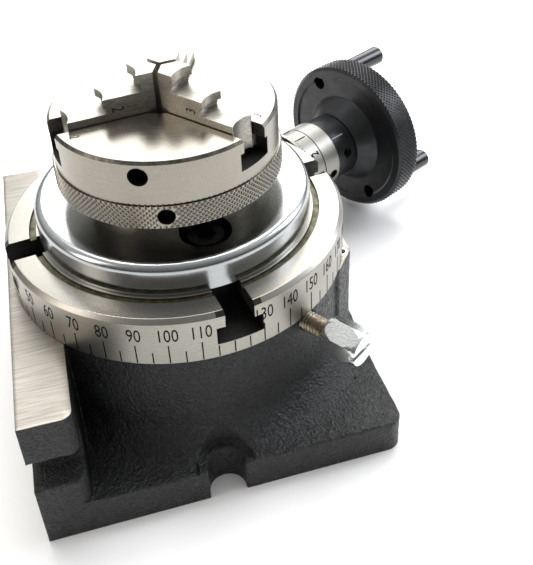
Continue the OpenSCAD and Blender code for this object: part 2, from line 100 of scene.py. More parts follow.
def wormFrame():
    return (Matrix.Rotation(math.radians(wormLine["azimuth"]), 4, "Z")
            @ Matrix.Translation(Vector((0, wormLine["offset"], wormLine["height"])) * mm)
            @ Matrix.Rotation(math.radians(90), 4, "Y"))


# frame of the clamp screw: local +Z runs outwards through the base
clampLine = {"azimuth": -55.0, "height": 42.3}


def clampFrame():
    return (Matrix.Rotation(math.radians(clampLine["azimuth"]), 4, "Z")
            @ Matrix.Translation((0, 0, clampLine["height"] * mm))
            @ Matrix.Rotation(math.radians(90), 4, "Y"))


scratchDepth, mottleDepth = 0.02, 0.03  # mm, the relief at a bump of 1


def turnedMetal(name, look, placeFrame=None):
    # metal finished on a lathe: fine rings round the axis, highlights drawn out across them
    material, tree = newMaterial(name)
    coords = addNode(tree, "ShaderNodeTexCoord")
    place = placeFrame or Matrix.Identity(4)
    local = addNode(tree, "ShaderNodeMapping", {"vector_type": "TEXTURE"}, {
        "Vector": coords.outputs["Object"], "Location": place.to_translation(), "Rotation": place.to_euler()})
    parts = addNode(tree, "ShaderNodeSeparateXYZ", None, {0: local.outputs[0]})
    flat = addNode(tree, "ShaderNodeCombineXYZ", None, {0: parts.outputs[0], 1: parts.outputs[1]})
    radius = addNode(tree, "ShaderNodeVectorMath", {"operation": "LENGTH"}, {0: flat.outputs[0]})
    feed = addNode(tree, "ShaderNodeMath", {"operation": "ADD"}, {0: radius.outputs["Value"], 1: parts.outputs[2]})
    lines = addNode(tree, "ShaderNodeTexNoise", {"noise_dimensions": "1D"}, {
        "W": feed.outputs[0], "Scale": 1 / (look["ringPitch"] * mm), "Detail": 1.0, "Roughness": 0.5})
    cloud = addNode(tree, "ShaderNodeTexNoise", None, {
        "Vector": coords.outputs["Object"], "Scale": 1 / (look["cloudSize"] * mm), "Detail": 2.0})
    speck = addNode(tree, "ShaderNodeTexNoise", None, {
        "Vector": coords.outputs["Object"], "Scale": 1 / (look["speckSize"] * mm), "Detail": 1.0})
    grain = addNode(tree, "ShaderNodeMath", {"operation": "MULTIPLY_ADD"}, {
        0: speck.outputs["Fac"], 1: 0.4, 2: lines.outputs["Fac"]})
    mixed = addNode(tree, "ShaderNodeMath", {"operation": "MULTIPLY_ADD"}, {
        0: cloud.outputs["Fac"], 1: 0.5, 2: grain.outputs[0]})
    shade = addNode(tree, "ShaderNodeMath", {"operation": "MULTIPLY"}, {0: mixed.outputs[0], 1: 0.53})
    colour = bentRamp(tree, shade.outputs[0], [(0.25, look["dark"]), (0.75, look["light"])])
    rough = addNode(tree, "ShaderNodeMapRange", None, {
        "Value": shade.outputs[0], "From Min": 0.25, "From Max": 0.75,
        "To Min": look["roughness"][1], "To Max": look["roughness"][0]})
    bump = addNode(tree, "ShaderNodeBump", None, {
        "Strength": look["bump"], "Distance": scratchDepth * mm, "Height": lines.outputs["Fac"]})
    axis = place.to_3x3() @ Vector((0, 0, 1))
    centred = addNode(tree, "ShaderNodeVectorMath", {"operation": "SUBTRACT"}, {
        0: coords.outputs["Object"], 1: place.to_translation()})
    sweep = addNode(tree, "ShaderNodeVectorMath", {"operation": "CROSS_PRODUCT"}, {
        0: axis, 1: centred.outputs[0]})
    tangent = addNode(tree, "ShaderNodeVectorTransform", {
        "vector_type": "VECTOR", "convert_from": "OBJECT", "convert_to": "WORLD"}, {0: sweep.outputs[0]})
    finishMaterial(tree, {
        "Base Color": colour, "Metallic": 1.0, "Roughness": rough.outputs[0], "Normal": bump.outputs[0],
        "Anisotropic": look["anisotropy"], "Tangent": tangent.outputs[0]})
    return material


def groundMetal(name, look):
    # surface-ground steel: straight fine scratches along one direction, with faint smears
    material, tree = newMaterial(name)
    coords = addNode(tree, "ShaderNodeTexCoord")
    turned = addNode(tree, "ShaderNodeMapping", None, {
        "Vector": coords.outputs["Object"], "Rotation": (0, 0, math.radians(look["grain"])),
        "Scale": [1 / (look[key] * mm) for key in ("scratchLength", "scratchPitch", "scratchPitch")]})
    scratches = addNode(tree, "ShaderNodeTexNoise", None, {
        "Vector": turned.outputs[0], "Scale": 1.0, "Detail": 2.0, "Roughness": 0.6})
    cloud = addNode(tree, "ShaderNodeTexNoise", None, {
        "Vector": coords.outputs["Object"], "Scale": 1 / (look["cloudSize"] * mm), "Detail": 3.0})
    shade = addNode(tree, "ShaderNodeMath", {"operation": "MULTIPLY_ADD"}, {
        0: cloud.outputs["Fac"], 1: 0.4, 2: scratches.outputs["Fac"]})
    colour = bentRamp(tree, shade.outputs[0], [(0.4, look["dark"]), (0.95, look["light"])])
    rough = addNode(tree, "ShaderNodeMapRange", None, {
        "Value": shade.outputs[0], "From Min": 0.4, "From Max": 0.95,
        "To Min": look["roughness"][1], "To Max": look["roughness"][0]})
    bump = addNode(tree, "ShaderNodeBump", None, {
        "Strength": look["bump"], "Distance": scratchDepth * mm, "Height": scratches.outputs["Fac"]})
    finishMaterial(tree, {
        "Base Color": colour, "Metallic": 1.0, "Roughness": rough.outputs[0], "Normal": bump.outputs[0]})
    return material


def castPaint(name, look):
    # black enamel sprayed over sand-cast iron: the sand's pitting shows through, with sharp small glints; the
    # colour is also lighter on the high points as painted glints and darker in the pits as painted shade
    material, tree = newMaterial(name)
    coords = addNode(tree, "ShaderNodeTexCoord")
    pits = addNode(tree, "ShaderNodeTexNoise", None, {
        "Vector": coords.outputs["Object"], "Scale": 1 / (look["pitSize"] * mm), "Detail": 4.0, "Roughness": 0.62})
    grit = addNode(tree, "ShaderNodeTexVoronoi", None, {
        "Vector": coords.outputs["Object"], "Scale": 1 / (look["gritSize"] * mm), "Randomness": 1.0})
    cloud = addNode(tree, "ShaderNodeTexNoise", None, {
        "Vector": coords.outputs["Object"], "Scale": 1 / (look["cloudSize"] * mm), "Detail": 2.0})
    relief = addNode(tree, "ShaderNodeMath", {"operation": "MULTIPLY_ADD"}, {
        0: grit.outputs["Distance"], 1: -0.35, 2: pits.outputs["Fac"]})
    toneWithPaintedGlintAndShade = addNode(tree, "ShaderNodeMath", {"operation": "MULTIPLY_ADD"}, {
        0: cloud.outputs["Fac"], 1: 0.45, 2: relief.outputs[0]})
    # colour follows the relief: painted glints on the high points, painted shade in the pits, with a random cloud
    # on top
    colour = bentRamp(tree, toneWithPaintedGlintAndShade.outputs[0], [(0.3, look["dark"]), (0.62, look["middle"]), (0.85, look["light"])])
    rough = addNode(tree, "ShaderNodeMapRange", None, {
        "Value": pits.outputs["Fac"], "From Min": 0.35, "From Max": 0.7,
        "To Min": look["roughness"][1], "To Max": look["roughness"][0]})
    coarse = addNode(tree, "ShaderNodeBump", None, {
        "Strength": 0.9, "Distance": look["pitDepth"] * mm, "Height": relief.outputs[0]})
    fine = addNode(tree, "ShaderNodeTexNoise", None, {
        "Vector": coords.outputs["Object"], "Scale": 1 / (look["grainSize"] * mm), "Detail": 1.0})
    both = addNode(tree, "ShaderNodeBump", None, {
        "Strength": 0.6, "Distance": look["grainDepth"] * mm, "Height": fine.outputs["Fac"],
        "Normal": coarse.outputs[0]})
    finishMaterial(tree, {
        "Base Color": colour, "Roughness": rough.outputs[0], "IOR": 1.5, "Normal": both.outputs[0]})
    return material


def plainCoat(name, look):
    # an even finish, such as oxide, plating, plastic or ink, with a faint mottle and a slight bump
    material, tree = newMaterial(name)
    coords = addNode(tree, "ShaderNodeTexCoord")
    mottle = addNode(tree, "ShaderNodeTexNoise", None, {
        "Vector": coords.outputs["Object"], "Scale": 1 / (look["grainSize"] * mm), "Detail": 3.0, "Roughness": 0.6})
    colour = bentRamp(tree, mottle.outputs["Fac"], [(0.35, look["dark"]), (0.7, look["light"])])
    rough = addNode(tree, "ShaderNodeMapRange", None, {
        "Value": mottle.outputs["Fac"], "From Min": 0.35, "From Max": 0.7,
        "To Min": look["roughness"][1], "To Max": look["roughness"][0]})
    bump = addNode(tree, "ShaderNodeBump", None, {
        "Strength": look["bump"], "Distance": mottleDepth * mm, "Height": mottle.outputs["Fac"]})
    finishMaterial(tree, {
        "Base Color": colour, "Metallic": look["metallic"], "Roughness": rough.outputs[0],
        "Normal": bump.outputs[0], "Specular IOR Level": look.get("specular", 0.5)})
    return material


materials = {
    # enamel over sand-cast iron: almost black, pitted, with sparkling high points, partly painted into the colour
    # as lighter high points and darker pits
    "castEnamel": castPaint("castIronBlackEnamel", {
        "pitSize": 1.1, "pitDepth": 0.7, "gritSize": 0.8, "grainSize": 0.35, "grainDepth": 0.16,
        "cloudSize": 14.0, "dark": "#050606", "middle": "#0e1011", "light": "#272b2d",
        "roughness": (0.24, 0.6)}),
    # iron milled and ground flat: pale warm grey with straight scratches
    "milledIron": groundMetal("castIronGroundFlat", {
        "grain": 82.0, "scratchLength": 9.0, "scratchPitch": 0.3, "cloudSize": 26.0, "dark": "#77736c",
        "light": "#a19c93", "roughness": (0.34, 0.46), "bump": 0.2}),
    # the table's own steel: satin, with rings from facing it on the lathe
    "tableSteel": turnedMetal("steelFacedSatin", {
        "ringPitch": 0.14, "cloudSize": 22.0, "speckSize": 0.5, "dark": "#86837b", "light": "#b0ada5",
        "roughness": (0.24, 0.34), "bump": 0.2, "anisotropy": 0.5}),
    # the rim: matt chrome on the graduated band, so that the marks read
    "rimChrome": turnedMetal("steelMattChromeBand", {
        "ringPitch": 0.2, "cloudSize": 20.0, "speckSize": 0.6, "dark": "#8d8a82", "light": "#b3b0a8",
        "roughness": (0.36, 0.46), "bump": 0.12, "anisotropy": 0.35}),
    # the table's groove, darker and olive-brown
    "grooveDarkOlive": plainCoat("steelGrooveDarkOlive", {
        "grainSize": 2.5, "dark": "#3c3a2a", "light": "#6c6850", "roughness": (0.3, 0.5), "bump": 0.4,
        "metallic": 0.6}),
    # counterbores and jaw ways, as drilled or milled, dull and oily
    "drilledSteel": plainCoat("steelAsDrilled", {
        "grainSize": 1.6, "dark": "#4a4742", "light": "#6f6b64", "roughness": (0.3, 0.45), "bump": 0.3,
        "metallic": 1.0}),
    # walls and floors of the table's slots, left black by the heat treatment; the same black in the key holes and
    # under the jaw guides is painted shade
    "blackSlotAndPaintedShade": plainCoat("steelBlackScaleAndPaintedShade", {
        "grainSize": 1.2, "dark": "#0d0d0d", "light": "#24231f", "roughness": (0.4, 0.6), "bump": 0.5,
        "metallic": 0.3}),
    # the adapter plate: polished on the lathe, close to a mirror
    "plateSteel": turnedMetal("steelTurnedPolished", {
        "ringPitch": 0.2, "cloudSize": 24.0, "speckSize": 0.8, "dark": "#989b9d", "light": "#b9bcbd",
        "roughness": (0.15, 0.22), "bump": 0.08, "anisotropy": 0.6}),
    # the chuck: hardened steel, cylindrically ground
    "chuckSteel": turnedMetal("steelCylindricallyGround", {
        "ringPitch": 0.12, "cloudSize": 18.0, "speckSize": 0.45, "dark": "#7d786f", "light": "#a39e94",
        "roughness": (0.22, 0.3), "bump": 0.15, "anisotropy": 0.55}),
    # the jaws: surface ground, bright, with diagonal grinding marks on their steps
    "jawSteel": groundMetal("steelSurfaceGround", {
        "grain": 35.0, "scratchLength": 6.0, "scratchPitch": 0.3, "cloudSize": 8.0, "dark": "#77736b",
        "light": "#bdb9b0", "roughness": (0.33, 0.46), "bump": 0.4}),
    # satin chrome of the graduated collar, turned about the worm shaft
    "collarChrome": turnedMetal("steelSatinChrome", {
        "ringPitch": 0.14, "cloudSize": 9.0, "speckSize": 0.4, "dark": "#77756f", "light": "#a3a19a",
        "roughness": (0.3, 0.4), "bump": 0.15, "anisotropy": 0.4}, wormFrame()),
    # turned and blackened steel: deep black with a soft sheen
    "wheelBlack": plainCoat("steelBlackOxideOiled", {
        "grainSize": 5.0, "dark": "#1b1c1e", "light": "#2c2e31", "roughness": (0.27, 0.38), "bump": 0.08,
        "metallic": 0.4}),
    # small screws in the same oxide, a little duller
    "screwBlack": plainCoat("screwBlackOxide", {
        "grainSize": 1.0, "dark": "#131313", "light": "#232324", "roughness": (0.3, 0.45), "bump": 0.15,
        "metallic": 0.5}),
    # the cranks: black enamel, smooth and shiny
    "handleBlack": plainCoat("handleBlackEnamel", {
        "grainSize": 3.0, "dark": "#101113", "light": "#1b1c1f", "roughness": (0.14, 0.22), "bump": 0.05,
        "metallic": 0.0}),
    # bright plating over a machined hexagon
    "zincPlate": groundMetal("steelBrightZinc", {
        "grain": 12.0, "scratchLength": 4.0, "scratchPitch": 0.3, "cloudSize": 5.0, "dark": "#aeb0ae",
        "light": "#eceeec", "roughness": (0.16, 0.28), "bump": 0.18}),
    # a screw thread left oily and slightly brown
    "threadSteel": plainCoat("steelThreadOily", {
        "grainSize": 0.8, "dark": "#6b6152", "light": "#a79c88", "roughness": (0.28, 0.42), "bump": 0.2,
        "metallic": 1.0}),
    # bearing bronze, turned
    "bronze": turnedMetal("bronzeTurned", {
        "ringPitch": 0.4, "cloudSize": 8.0, "speckSize": 0.5, "dark": "#8e6a36", "light": "#c79d58",
        "roughness": (0.28, 0.4), "bump": 0.2, "anisotropy": 0.3}),
    # filler wiped into the cut marks
    "markBlack": plainCoat("markFillerBlack", {
        "grainSize": 0.6, "dark": "#070707", "light": "#111112", "roughness": (0.6, 0.75), "bump": 0.1,
        "metallic": 0.0, "specular": 0.08}),
    "markWhite": plainCoat("markFillerWhite", {
        "grainSize": 0.6, "dark": "#8f8f8c", "light": "#a9a9a6", "roughness": (0.5, 0.65), "bump": 0.1,
        "metallic": 0.0}),
    # letters struck with a punch: flat figures whose dark colour is painted shade, standing for the bottom of the
    # punched hollows
    "stamped": plainCoat("steelPunchMarkPaintedShade", {
        "grainSize": 0.5, "dark": "#1c1714", "light": "#3a312b", "roughness": (0.5, 0.65), "bump": 0.2,
        "metallic": 0.3, "specular": 0.2}),
}
print("materials", len(materials))


def newObject(name, mesh):
    made = bpy.data.objects.new(name, mesh)
    scene.collection.objects.link(made)
    return made


def bakeModifiers(made):
    graph = bpy.context.evaluated_depsgraph_get()
    mesh = bpy.data.meshes.new_from_object(made.evaluated_get(graph), depsgraph=graph)
    made.modifiers.clear()
    made.data = mesh
    return made


def handOver(made, body, slotName, *nodes):
    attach(made, body)
    if nodes:
        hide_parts(*nodes)
    print("piece", made.name, len(made.data.polygons))


def mergedCopy(node):
    # the CAD node's shape as one connected surface, flat areas joined into single faces
    bm = bmesh.new()
    bm.from_mesh(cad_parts[node].data)
    for layer in list(bm.loops.layers.uv):
        bm.loops.layers.uv.remove(layer)
    bmesh.ops.remove_doubles(bm, verts=bm.verts, dist=mergeDistance)
    bmesh.ops.dissolve_limit(bm, angle_limit=math.radians(flatAngle), verts=bm.verts, edges=bm.edges)
    for face in bm.faces:
        face.material_index = 0
    return bm


def smoothFaces(mesh):
    for polygon in mesh.polygons:
        polygon.use_smooth = True


def breakEdges(made, width, angle):
    # small rounds on the sharp edges, with the flat faces still shaded flat
    bevel = made.modifiers.new("brokenEdges", "BEVEL")
    bevel.width = width * mm
    bevel.segments = 2
    bevel.limit_method = "ANGLE"
    bevel.angle_limit = math.radians(angle)
    bevel.use_clamp_overlap = True
    shading = made.modifiers.new("flatFaces", "WEIGHTED_NORMAL")
    shading.keep_sharp = True
    smoothFaces(made.data)
    return bakeModifiers(made)


def softenedCopy(name, node, look):
    # CAD shape with its edges broken, as a deburred part's are
    bm = mergedCopy(node)
    chooser = look.get("chooser")
    if chooser:
        for face in bm.faces:
            reach = sum(v.co.xy.length for v in face.verts) / len(face.verts) / mm
            face.material_index = chooser(face.calc_center_median() / mm, face.normal, reach)
    mesh = bpy.data.meshes.new(name)
    bm.to_mesh(mesh)
    bm.free()
    for key in look["materials"]:
        mesh.materials.append(materials[key])
    return breakEdges(newObject(name, mesh), look["edge"], look.get("sharp", sharpAngle))


def ringArrayTree():
    # teeth or marks set round an axis in staggered rows, left out where a hole or slot opens
    tree = bpy.data.node_groups.new("ringArray", "GeometryNodeTree")
    socket = tree.interface.new_socket
    socket("Geometry", in_out="OUTPUT", socket_type="NodeSocketGeometry")
    socket("Tooth", in_out="INPUT", socket_type="NodeSocketObject")
    for name in ("Count", "Rows"):
        socket(name, in_out="INPUT", socket_type="NodeSocketInt")
    for name in ("Radius", "Bottom", "Row Pitch", "Start", "Gaps", "Gap Start", "Gap Height", "Gap Half Width",
                 "Gap Half Height"):
        socket(name, in_out="INPUT", socket_type="NodeSocketFloat")
    socket("Material", in_out="INPUT", socket_type="NodeSocketMaterial")
    given = addNode(tree, "NodeGroupInput").outputs

    def maths(operation, first, second=0.0):
        return addNode(tree, "ShaderNodeMath", {"operation": operation}, {0: first, 1: second}).outputs[0]

    circle = addNode(tree, "GeometryNodeMeshCircle", None, {"Vertices": given["Count"], "Radius": given["Radius"]})
    bottom = addNode(tree, "ShaderNodeCombineXYZ", None, {"Z": given["Bottom"]})
    step = addNode(tree, "ShaderNodeCombineXYZ", None, {"Z": given["Row Pitch"]})
    line = addNode(tree, "GeometryNodeMeshLine", None, {
        "Count": given["Rows"], "Start Location": bottom.outputs[0], "Offset": step.outputs[0]})
    index = addNode(tree, "GeometryNodeInputIndex")
    halfTooth = maths("DIVIDE", math.pi, given["Count"])
    stagger = maths("ADD", maths("MULTIPLY", index.outputs[0], halfTooth), given["Start"])
    turn = addNode(tree, "ShaderNodeCombineXYZ", None, {"Z": stagger})
    rings = addNode(tree, "GeometryNodeInstanceOnPoints", None, {
        "Points": line.outputs["Mesh"], "Instance": circle.outputs["Mesh"], "Rotation": turn.outputs[0]})
    points = addNode(tree, "GeometryNodeRealizeInstances", None, {0: rings.outputs[0]})
    where = addNode(tree, "GeometryNodeInputPosition")
    parts = addNode(tree, "ShaderNodeSeparateXYZ", None, {0: where.outputs[0]})
    angle = maths("SUBTRACT", maths("ARCTAN2", parts.outputs["Y"], parts.outputs["X"]), given["Gap Start"])
    period = maths("DIVIDE", 2 * math.pi, given["Gaps"])
    wrapped = maths("PINGPONG", angle, maths("MULTIPLY", period, 0.5))
    across = maths("DIVIDE", maths("MULTIPLY", wrapped, given["Radius"]), given["Gap Half Width"])
    upwards = maths("DIVIDE", maths("SUBTRACT", parts.outputs["Z"], given["Gap Height"]), given["Gap Half Height"])
    reach = maths("ADD", maths("MULTIPLY", across, across), maths("MULTIPLY", upwards, upwards))
    inside = addNode(tree, "FunctionNodeCompare", {"data_type": "FLOAT", "operation": "LESS_THAN"}, {
        0: reach, 1: 1.0})
    kept = addNode(tree, "GeometryNodeDeleteGeometry", {"domain": "POINT"}, {
        "Geometry": points.outputs[0], "Selection": inside.outputs[0]})
    outward = addNode(tree, "ShaderNodeCombineXYZ", None, {0: parts.outputs["X"], 1: parts.outputs["Y"]})
    facing = addNode(tree, "FunctionNodeAlignRotationToVector", {"axis": "X", "pivot_axis": "Z"}, {
        "Vector": outward.outputs[0]})
    tooth = addNode(tree, "GeometryNodeObjectInfo", None, {"Object": given["Tooth"]})
    teeth = addNode(tree, "GeometryNodeInstanceOnPoints", None, {
        "Points": kept.outputs[0], "Instance": tooth.outputs["Geometry"], "Rotation": facing.outputs[0]})
    real = addNode(tree, "GeometryNodeRealizeInstances", None, {0: teeth.outputs[0]})
    painted = addNode(tree, "GeometryNodeSetMaterial", None, {
        "Geometry": real.outputs[0], "Material": given["Material"]})
    addNode(tree, "NodeGroupOutput", None, {0: painted.outputs[0]})
    return tree


ringArray = ringArrayTree()
# a gap far above everything, for rings that have none
noGap = {"gaps": 1, "gapStart": 0.0, "gapHeight": 500.0, "gapHalfWidth": 1.0, "gapHalfHeight": 1.0}


def ringOf(name, toothMesh, look, place=None):
    # runs the ring array and keeps its result as a plain mesh
    tooth = newObject(name + "Tooth", toothMesh)
    carrier = newObject(name, bpy.data.meshes.new(name))
    modifier = carrier.modifiers.new("ringArray", "NODES")
    modifier.node_group = ringArray
    sockets = {item.name: item.identifier for item in ringArray.interface.items_tree if item.in_out == "INPUT"}
    gap = {**noGap, **look.get("gap", {})}
    values = {
        "Tooth": tooth, "Count": look["count"], "Rows": look.get("rows", 1), "Radius": look["radius"] * mm,
        "Bottom": look["bottom"] * mm, "Row Pitch": look.get("rowPitch", 1.0) * mm,
        "Start": math.radians(look.get("start", 0.0)), "Gaps": float(gap["gaps"]),
        "Gap Start": math.radians(gap["gapStart"]), "Gap Height": gap["gapHeight"] * mm,
        "Gap Half Width": gap["gapHalfWidth"] * mm, "Gap Half Height": gap["gapHalfHeight"] * mm,
        "Material": materials[look["material"]]}
    for key, value in values.items():
        modifier[sockets[key]] = value
    bakeModifiers(carrier)
    if place is not None:
        carrier.data.transform(place)
    bpy.data.objects.remove(tooth)
    return carrier


def markMesh(width, height, depth, outerRadius):
    # one filled mark: a thin bar on a curved band, its foot at z 0, outwards along +X
    columns = 3
    bm = bmesh.new()
    for inset in (-depth, depth):
        for level in (0, height):
            for column in range(columns):
                angle = (column / (columns - 1) - 0.5) * width / outerRadius
                radius = outerRadius + inset
                bm.verts.new(Vector((radius * math.cos(angle) - outerRadius, radius * math.sin(angle), level)) * mm)
    bm.verts.ensure_lookup_table()
    v = bm.verts
    back, front = 0, 2 * columns
    for c in range(columns - 1):
        bm.faces.new((v[front + c], v[front + c + 1], v[front + columns + c + 1], v[front + columns + c]))
        bm.faces.new((v[back + c + 1], v[back + c], v[back + columns + c], v[back + columns + c + 1]))
        bm.faces.new((v[back + c], v[back + c + 1], v[front + c + 1], v[front + c]))
        bm.faces.new((v[front + columns + c], v[front + columns + c + 1], v[back + columns + c + 1],
                      v[back + columns + c]))
    last = columns - 1
    bm.faces.new((v[back], v[front], v[front + columns], v[back + columns]))
    bm.faces.new((v[front + last], v[back + last], v[back + columns + last], v[front + columns + last]))
    bmesh.ops.recalc_face_normals(bm, faces=bm.faces)
    mesh = bpy.data.meshes.new("mark")
    bm.to_mesh(mesh)
    bm.free()
    return mesh


def diamondMesh(width, height, rise, sunk):
    # one diamond of a knurl: a blunt four-sided point, outwards along +X
    tip = 0.22
    bm = bmesh.new()
    corners = [(0, -height / 2), (width / 2, 0), (0, height / 2), (-width / 2, 0)]
    foot = [bm.verts.new(Vector((-sunk, y, z)) * mm) for y, z in corners]
    top = [bm.verts.new(Vector((rise, y * tip, z * tip)) * mm) for y, z in corners]
    bm.faces.new(top)
    bm.faces.new(foot[::-1])
    for i in range(4):
        j = (i + 1) % 4
        bm.faces.new((foot[i], foot[j], top[j], top[i]))
    bmesh.ops.recalc_face_normals(bm, faces=bm.faces)
    mesh = bpy.data.meshes.new("diamond")
    bm.to_mesh(mesh)
    bm.free()
    return mesh


figureNarrowing = 0.66  # the stamped and printed figures are narrower than the font's own


def letterMesh(text, height, depth, weight=0.0):
    # figures as a thin solid, centred, in millimetres: x to the right, y up, z towards the reader
    curve = bpy.data.curves.new("figures", "FONT")
    curve.body = text
    curve.align_x = "CENTER"
    curve.resolution_u = 3
    curve.extrude = depth
    curve.offset = weight
    holder = newObject("figures", curve)
    graph = bpy.context.evaluated_depsgraph_get()
    mesh = bpy.data.meshes.new_from_object(holder.evaluated_get(graph), depsgraph=graph)
    bpy.data.objects.remove(holder)
    bm = bmesh.new()
    bm.from_mesh(mesh)
    bmesh.ops.remove_doubles(bm, verts=bm.verts, dist=1e-5)
    low = min(v.co.y for v in bm.verts)
    high = max(v.co.y for v in bm.verts)
    scale = height / (high - low)
    for vertex in bm.verts:
        vertex.co.x *= scale * figureNarrowing
        vertex.co.y = (vertex.co.y - (low + high) / 2) * scale
    return bm


def joinMeshes(name, parts, material):
    # several bmesh pieces as one object
    bm = bmesh.new()
    for part in parts:
        mesh = bpy.data.meshes.new("part")
        part.to_mesh(mesh)
        part.free()
        bm.from_mesh(mesh)
        bpy.data.meshes.remove(mesh)
    mesh = bpy.data.meshes.new(name)
    bm.to_mesh(mesh)
    bm.free()
    mesh.materials.append(material)
    return newObject(name, mesh)


def cutWindow(bm, halfWidth, low, high, centre):
    # drops what lies inside a rectangle of the flat figures, cutting along its sides
    for point, normal in (((centre - halfWidth, 0, 0), (1, 0, 0)), ((centre + halfWidth, 0, 0), (1, 0, 0)),
                          ((0, low, 0), (0, 1, 0)), ((0, high, 0), (0, 1, 0))):
        bmesh.ops.bisect_plane(bm, geom=bm.verts[:] + bm.edges[:] + bm.faces[:], plane_co=point, plane_no=normal)
    doomed = []
    for face in bm.faces:
        x, y, _ = face.calc_center_median()
        if abs(x - centre) < halfWidth and low < y < high:
            doomed.append(face)
    bmesh.ops.delete(bm, geom=doomed, context="FACES")


def wrapOnCylinder(bm, radius, angle, height, place=None, upsideDown=False):
    # bends flat figures round a cylinder, their middle at an angle in degrees and a height
    side = -1 if upsideDown else 1
    for vertex in bm.verts:
        x, y, z = vertex.co
        turn = math.radians(angle) + side * x / radius
        reach = radius + z
        vertex.co = Vector((reach * math.cos(turn), reach * math.sin(turn), height + side * y)) * mm
    if place is not None:
        bm.transform(place)


def helixMesh(name, look):
    # a closed rod with a helical thread: a grid round the axis whose radius follows the pitch
    sides, perTurn = look["sides"], look["perTurn"]
    rows = int((look["end"] - look["start"]) / look["pitch"] * perTurn)
    bm = bmesh.new()
    grid = []
    for row in range(rows + 1):
        level = look["start"] + (look["end"] - look["start"]) * row / rows
        ring = []
        for side in range(sides):
            turn = side / sides
            phase = abs(((level / look["pitch"] - turn) % 1) - 0.5) * 2
            crest = min(1.0, max(0.0, (phase - 0.15) / 0.6))
            radius = look["root"] + (look["crest"] - look["root"]) * crest
            angle = 2 * math.pi * turn
            ring.append(bm.verts.new(Vector((radius * math.cos(angle), radius * math.sin(angle), level)) * mm))
        grid.append(ring)
    for low, high in zip(grid, grid[1:]):
        for side in range(sides):
            after = (side + 1) % sides
            bm.faces.new((low[side], low[after], high[after], high[side]))
    bm.faces.new(grid[0][::-1])
    bm.faces.new(grid[-1])
    mesh = bpy.data.meshes.new(name)
    bm.to_mesh(mesh)
    bm.free()
    return mesh


casting = {"edge": 0.75, "crispEdge": 0.22, "sharp": 25, "cell": 2.6, "cellShift": 0.37, "longest": 1.7,
           "swell": 0.16, "swellSize": 3.4, "pit": 0.1, "pitSize": 1.3, "sunk": 0.03, "boreReach": 26,
           "shadeSharp": 40}
baseLow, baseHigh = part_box("base_casting")


def machinedFace(centre, normal):
    # the seat and strip on top, the upright mounting face, the underside, and the bores
    if normal.z > 0.99 and centre.z > baseHigh.z / mm - skin:
        return True
    if normal.x < -0.99 and centre.x < baseLow.x / mm + skin:
        return True
    if normal.z < -0.99 and centre.z < skin:
        return True
    return math.hypot(centre.x, centre.y) < casting["boreReach"]


def makeCasting():
    # machined edges stay crisp; the painted skin is cut into small cells and given the unevenness of a sand mould
    bm = mergedCopy("base_casting")
    for face in bm.faces:
        face.material_index = 1 if machinedFace(face.calc_center_median() / mm, face.normal) else 0
    weights = bm.edges.layers.float.new("bevel_weight_edge")
    for edge in bm.edges:
        if len(edge.link_faces) == 2 and edge.calc_face_angle(0) > math.radians(casting["sharp"]):
            crisp = any(face.material_index for face in edge.link_faces)
            edge[weights] = casting["crispEdge"] / casting["edge"] if crisp else 1.0
    mesh = bpy.data.meshes.new("baseCasting")
    bm.to_mesh(mesh)
    bm.free()
    made = newObject("baseCasting", mesh)
    mesh.materials.append(materials["castEnamel"])
    mesh.materials.append(materials["milledIron"])
    bevel = made.modifiers.new("castEdges", "BEVEL")
    bevel.width = casting["edge"] * mm
    bevel.segments = 2
    bevel.limit_method = "WEIGHT"
    bevel.use_clamp_overlap = False
    bakeModifiers(made)

    bm = bmesh.new()
    bm.from_mesh(made.data)
    bmesh.ops.remove_doubles(bm, verts=bm.verts, dist=mergeDistance * 5)
    cell = casting["cell"] * mm
    for axis in range(3):
        normal = Vector((0, 0, 0))
        normal[axis] = 1.0
        level = baseLow[axis] + cell * casting["cellShift"]
        while level < baseHigh[axis]:
            bmesh.ops.bisect_plane(bm, geom=bm.verts[:] + bm.edges[:] + bm.faces[:], dist=1e-7,
                                   plane_co=normal * level, plane_no=normal)
            level += cell
    bmesh.ops.triangulate(bm, faces=bm.faces)
    for _ in range(2):
        long = [e for e in bm.edges if e.calc_length() > casting["longest"] * mm
                and all(f.material_index == 0 for f in e.link_faces)]
        bmesh.ops.subdivide_edges(bm, edges=long, cuts=1)
        bmesh.ops.triangulate(bm, faces=bm.faces)
    bm.normal_update()
    for vertex in bm.verts:
        painted = [f for f in vertex.link_faces if f.material_index == 0]
        if len(painted) < len(vertex.link_faces):
            continue
        point = vertex.co / mm
        swell = noise.noise(point / casting["swellSize"]) * casting["swell"]
        pit = noise.noise(point / casting["pitSize"] + Vector((7, 3, 5))) * casting["pit"]
        moved = vertex.co + vertex.normal * (swell + pit - casting["sunk"]) * mm
        for axis in range(3):
            moved[axis] = min(max(moved[axis], baseLow[axis]), baseHigh[axis])
        vertex.co = moved
    mesh = bpy.data.meshes.new("baseCasting")
    bm.to_mesh(mesh)
    bm.free()
    mesh.materials.append(materials["castEnamel"])
    mesh.materials.append(materials["milledIron"])
    smoothFaces(mesh)
    mesh.set_sharp_from_angle(angle=math.radians(casting["shadeSharp"]))
    made.data = mesh
    return made


handOver(makeCasting(), "base", "painted_iron", "base_casting")


table = {"radius": 50.4, "top": 61.2, "slotAzimuth": 8.4, "slotInner": 21, "slotBottom": 50.6, "slotWide": 6.6,
         "slotNeck": 4.1, "slotShoulder": 56.1, "grooveRadius": (41.3, 43.3), "grooveDepth": 1.2}
scale = {"zeroAzimuth": -203.84, "markBottom": 46.35, "longMark": 6.3, "shortMark": 3.8, "markWidth": 0.36,
         "depth": 0.03, "figureMiddle": 56.1, "figureHeight": 4.3, "step": 10, "nearSlot": 12.0}


